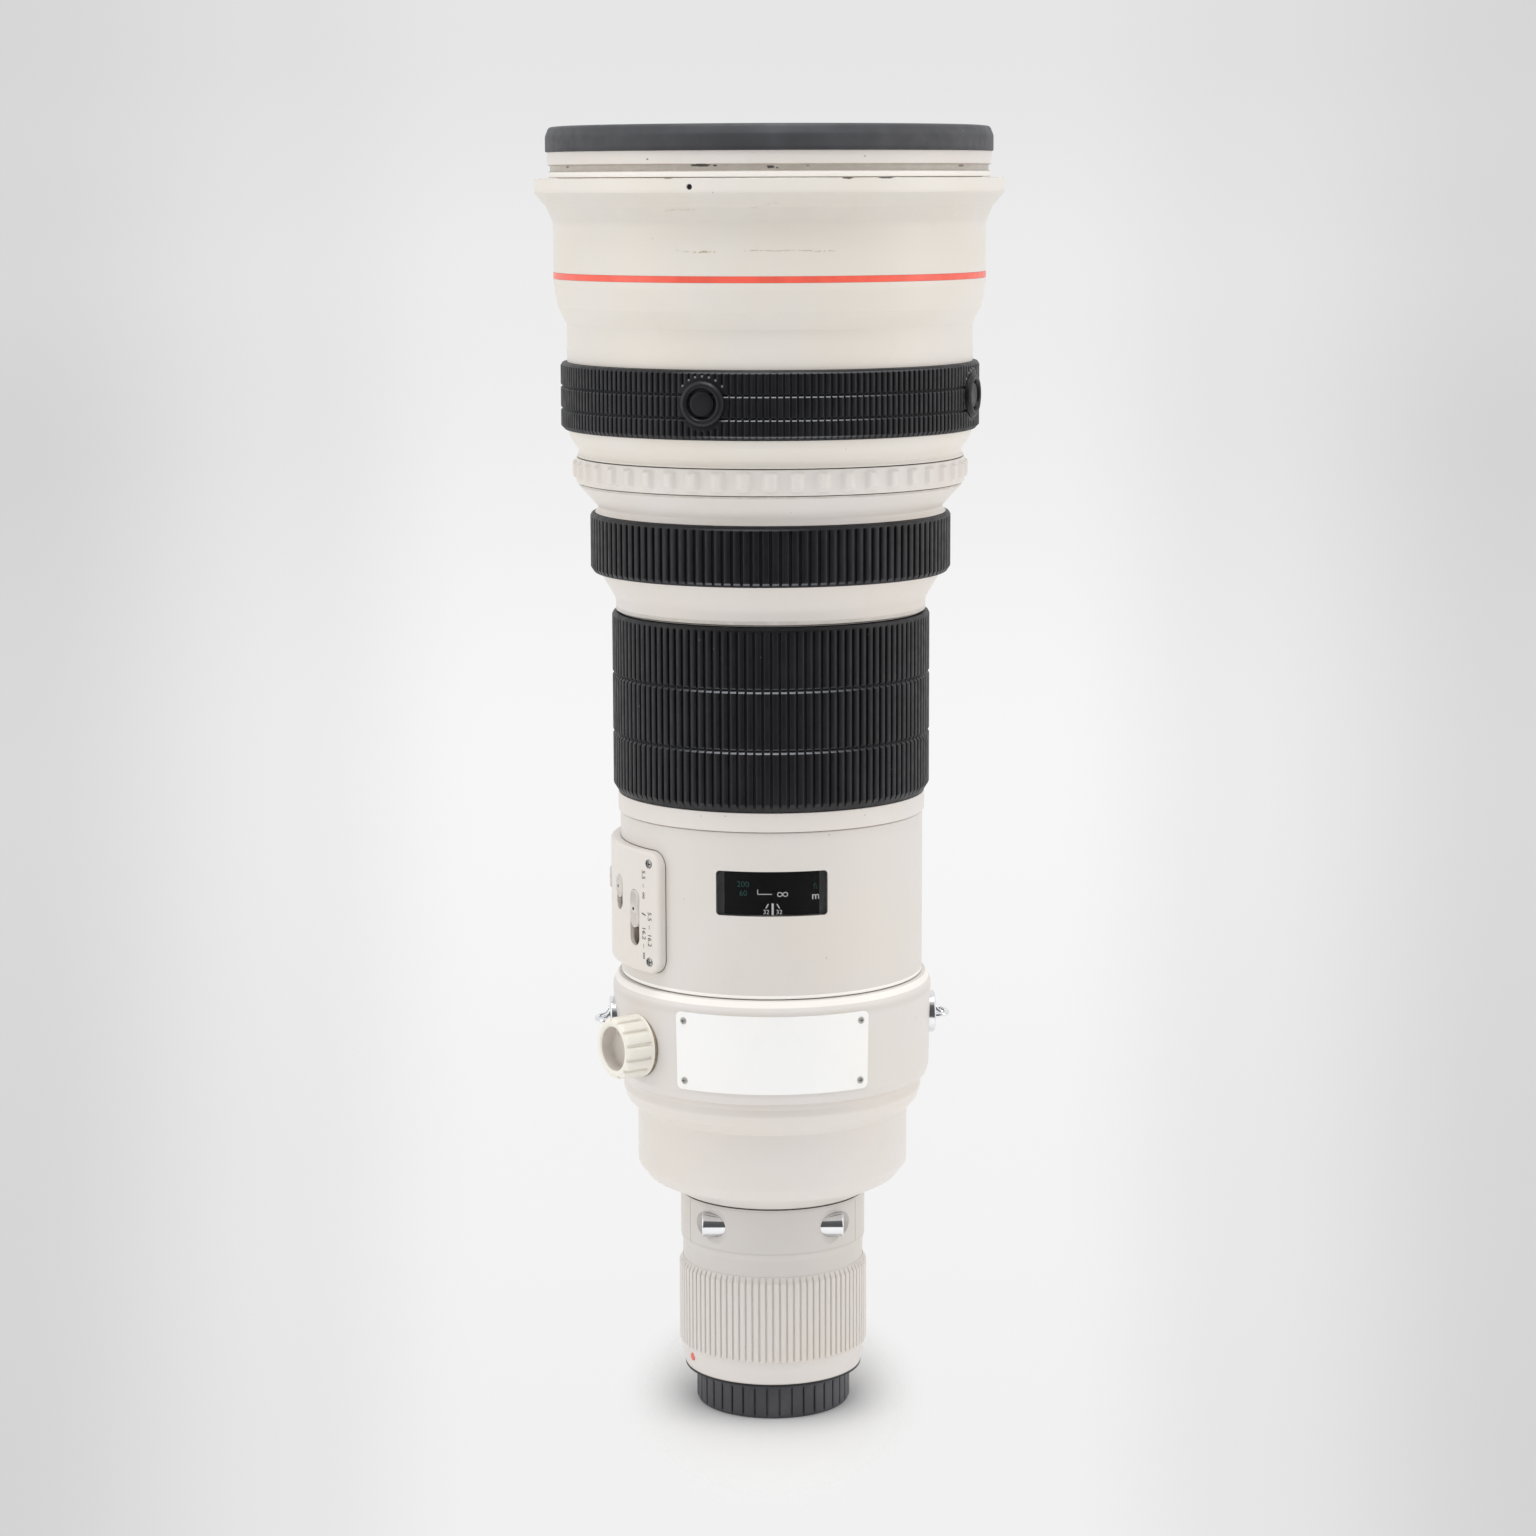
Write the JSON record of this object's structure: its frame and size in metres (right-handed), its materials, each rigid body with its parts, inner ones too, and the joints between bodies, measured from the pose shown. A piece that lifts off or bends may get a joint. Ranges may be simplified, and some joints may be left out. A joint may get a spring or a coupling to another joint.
{
  "type": "super telephoto lens",
  "caption": "White super telephoto lens with drop-in filter, rotating tripod collar and foot, focus ring, playback ring and focus-stop buttons, standing on its rear cap.",
  "frame": {"origin": "centre of the rear cap's rest face, on the optical axis", "axes": "+Z along the optical axis towards the front glass; -Y is the side of the distance window and nameplate; +Y is the tripod foot"},
  "size_m": [0.168, 0.188, 0.4705],
  "materials": {
    "white_paint": "satin",
    "plate_white": "gloss",
    "red_enamel": "gloss",
    "grip_rubber": "matte",
    "bumper_rubber": "satin",
    "button_black": "satin",
    "lens_glass": "gloss",
    "window_glass": "gloss",
    "black_metal": "matte",
    "chrome": "polished",
    "screw_steel": "satin",
    "cap_plastic": "satin",
    "knob_plastic": "satin",
    "switch_plastic": "satin",
    "gold_brass": "polished",
    "board_green": "satin",
    "inner_alloy": "satin",
    "seal_rubber": "matte"
  },
  "bodies": {
    "barrel": {"front_bumper": "bumper_rubber", "hood_seat": "white_paint", "front_glass": "lens_glass", "front_lens": "lens_glass", "front_barrel": "white_paint", "flange_screws": "screw_steel", "red_line": "red_enamel", "stop_rubber": "grip_rubber", "mid_barrel": "white_paint", "grip_rubber": "grip_rubber", "main_barrel": "white_paint", "window_pane": "window_glass", "switch_panel": "white_paint", "panel_screws": "screw_steel", "rear_barrel": "white_paint", "neck_barrel": "white_paint", "index_dot": "red_enamel", "ribbed_sleeve": "white_paint", "rear_lens": "lens_glass", "mount_ring": "chrome", "mount_screws": "screw_steel", "mount_gasket": "seal_rubber", "contact_block": "button_black", "contact_pins": "gold_brass", "inner_tube": "inner_alloy", "iris_unit": "black_metal", "stabiliser_unit": "black_metal", "motor_stator": "inner_alloy", "main_board": "board_green"},
    "focus_ring": {"focus_sleeve": "white_paint", "focus_rubber": "grip_rubber"},
    "motor_rotor": {"motor_rotor": "inner_alloy"},
    "focus_drive": {"roller_ring": "inner_alloy", "rollers": "screw_steel", "scale_drum": "button_black"},
    "focus_group": {"focus_cell": "black_metal", "focus_lens": "lens_glass"},
    "playback_ring": {"playback_ring": "white_paint"},
    "collar": {"collar_ring": "white_paint", "nameplate": "plate_white", "nameplate_screws": "screw_steel", "strap_lugs": "chrome", "tripod_foot": "white_paint"},
    "lock_knob": {"lock_knob": "knob_plastic"},
    "clamp_shoe": {"clamp_shoe": "gold_brass"},
    "range_slider": {"range_slider": "switch_plastic"},
    "mode_slider": {"mode_slider": "switch_plastic"},
    "stabiliser_slider": {"stabiliser_slider": "switch_plastic"},
    "set_button": {"set_button": "switch_plastic"},
    "stop_button_1": {"stop_button_1": "button_black"},
    "stop_button_2": {"stop_button_2": "button_black"},
    "stop_button_3": {"stop_button_3": "button_black"},
    "stop_button_4": {"stop_button_4": "button_black"},
    "filter_holder": {"filter_holder": "white_paint", "filter_glass": "lens_glass"},
    "filter_button_left": {"filter_button_left": "chrome"},
    "filter_button_right": {"filter_button_right": "chrome"},
    "stabiliser_carriage": {"stabiliser_carriage": "black_metal"},
    "stabiliser_lens": {"stabiliser_lens": "lens_glass"},
    "rear_cap": {"rear_cap": "cap_plastic"}
  },
  "joints": [
    {"name": "focus_turn", "type": "hinge", "parent": "barrel", "child": "focus_ring", "pos_m": [0, 0, 0.26], "axis": [0, 0, 1], "range_deg": [0, 144]},
    {"name": "drive_turn", "type": "hinge", "parent": "barrel", "child": "focus_drive", "pos_m": [0, 0, 0.22], "axis": [0, 0, 1], "range_deg": [0, 72]},
    {"name": "focus_travel", "type": "slide", "parent": "barrel", "child": "focus_group", "axis": [0, 0, 1], "range_m": [-0.00702, 0]},
    {"name": "rotor_turn", "type": "hinge", "parent": "barrel", "child": "motor_rotor", "pos_m": [0, 0, 0.217], "axis": [0, 0, 1], "range_deg": [0, 144]},
    {"name": "playback_turn", "type": "hinge", "parent": "barrel", "child": "playback_ring", "pos_m": [0, 0, 0.349], "axis": [0, 0, 1], "range_deg": [-7, 7], "stiffness_Nm_per_rad": 1},
    {"name": "collar_turn", "type": "hinge", "parent": "barrel", "child": "collar", "pos_m": [0, 0, 0.1427], "axis": [0, 0, 1], "continuous": true},
    {"name": "knob_turn", "type": "hinge", "parent": "collar", "child": "lock_knob", "pos_m": [-0.04759, -0.0321, 0.1427], "axis": [-0.829, -0.5592, 0], "range_deg": [0, 360]},
    {"name": "shoe_travel", "type": "slide", "parent": "collar", "child": "clamp_shoe", "axis": [-0.829, -0.5592, 0], "range_m": [0, 0.0008]},
    {"name": "range_slide", "type": "slide", "parent": "barrel", "child": "range_slider", "axis": [0, 0, 1], "range_m": [-0.0066, 0]},
    {"name": "mode_slide", "type": "slide", "parent": "barrel", "child": "mode_slider", "axis": [0, 0, 1], "range_m": [-0.0044, 0]},
    {"name": "stabiliser_slide", "type": "slide", "parent": "barrel", "child": "stabiliser_slider", "axis": [0, 0, 1], "range_m": [-0.0044, 0]},
    {"name": "set_press", "type": "slide", "parent": "barrel", "child": "set_button", "axis": [0.9598, -0.2807, 0], "range_m": [0, 0.0008], "stiffness_N_per_m": 400},
    {"name": "stop_press_1", "type": "slide", "parent": "barrel", "child": "stop_button_1", "axis": [0.309, 0.9511, 0], "range_m": [0, 0.001], "stiffness_N_per_m": 400},
    {"name": "stop_press_2", "type": "slide", "parent": "barrel", "child": "stop_button_2", "axis": [-0.9511, 0.309, 0], "range_m": [0, 0.001], "stiffness_N_per_m": 400},
    {"name": "stop_press_3", "type": "slide", "parent": "barrel", "child": "stop_button_3", "axis": [-0.309, -0.9511, 0], "range_m": [0, 0.001], "stiffness_N_per_m": 400},
    {"name": "stop_press_4", "type": "slide", "parent": "barrel", "child": "stop_button_4", "axis": [0.9511, -0.309, 0], "range_m": [0, 0.001], "stiffness_N_per_m": 400},
    {"name": "holder_pull", "type": "slide", "parent": "barrel", "child": "filter_holder", "axis": [0, -1, 0], "range_m": [0, 0.066]},
    {"name": "lock_left_press", "type": "slide", "parent": "filter_holder", "child": "filter_button_left", "axis": [1, 0, 0], "range_m": [0, 0.002], "stiffness_N_per_m": 400},
    {"name": "lock_right_press", "type": "slide", "parent": "filter_holder", "child": "filter_button_right", "axis": [-1, 0, 0], "range_m": [0, 0.002], "stiffness_N_per_m": 400},
    {"name": "stabiliser_y", "type": "slide", "parent": "barrel", "child": "stabiliser_carriage", "axis": [0, 1, 0], "range_m": [-0.0015, 0.0015], "stiffness_N_per_m": 200},
    {"name": "stabiliser_x", "type": "slide", "parent": "stabiliser_carriage", "child": "stabiliser_lens", "axis": [1, 0, 0], "range_m": [-0.0015, 0.0015], "stiffness_N_per_m": 200},
    {"name": "cap_twist", "type": "hinge", "parent": "barrel", "child": "rear_cap", "pos_m": [0, 0, 0.007], "axis": [0, 0, 1], "range_deg": [0, 60]}
  ],
  "couplings": [
    {"joint": "drive_turn", "follows": "focus_turn", "ratio": 0.5},
    {"joint": "focus_travel", "follows": "focus_turn", "m_per_rad": -0.0027852},
    {"joint": "shoe_travel", "follows": "knob_turn", "m_per_rad": 0.00012716}
  ]
}
